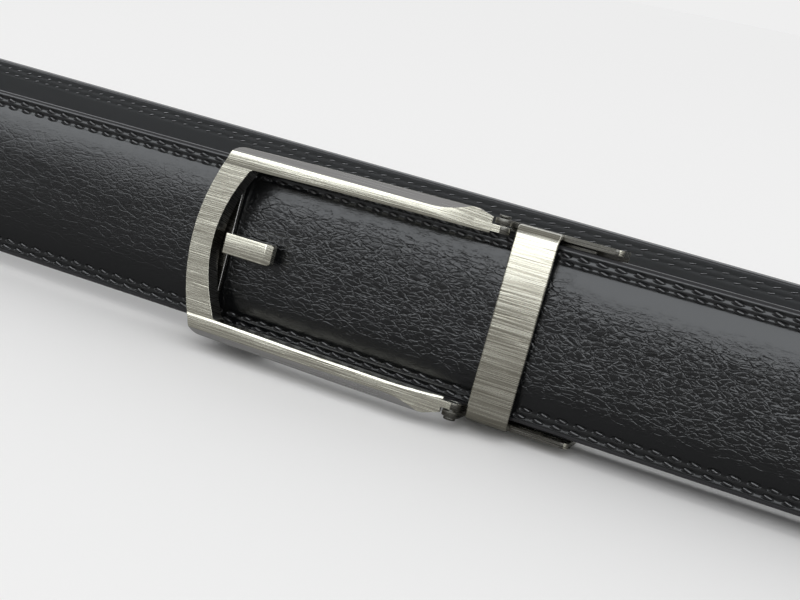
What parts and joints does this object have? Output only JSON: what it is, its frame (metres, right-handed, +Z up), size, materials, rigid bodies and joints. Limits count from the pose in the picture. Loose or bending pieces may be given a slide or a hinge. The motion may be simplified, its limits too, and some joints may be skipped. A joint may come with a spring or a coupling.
{
  "type": "ratchet belt",
  "caption": "Leather ratchet belt, fastened into a loop on its edge, with a frame buckle, dummy prong, keeper and clamp.",
  "frame": {"origin": "middle of the belt's footprint, at the surface that it stands on", "axes": "+Z up across the strap's width, +X along the front stretch toward the strap's tip, -Y out of the buckle's face"},
  "size_m": [0.4618, 0.0818, 0.0423],
  "materials": {
    "strap_leather": "black pebbled top grain, satin, smooth at the stitched margins",
    "thread": "black waxed twin-needle stitches",
    "track_plastic": "black moulded nylon",
    "brushed_nickel": "nickel plate, brushed along the strap, polished at the edges",
    "dark_nickel": "plain nickel plate in the buckle's inner parts"
  },
  "bodies": {
    "root": {"strap": "strap_leather", "ratchet_track": "track_plastic", "buckle_frame": "brushed_nickel", "ratchet_housing": "dark_nickel", "release_lever": "dark_nickel", "prong_stub": "brushed_nickel", "clamp_body": "brushed_nickel", "clamp_jaw": "dark_nickel", "hinge_pin_top": "dark_nickel", "hinge_pin_bottom": "dark_nickel", "keeper": "brushed_nickel"}
  },
  "joints": []
}
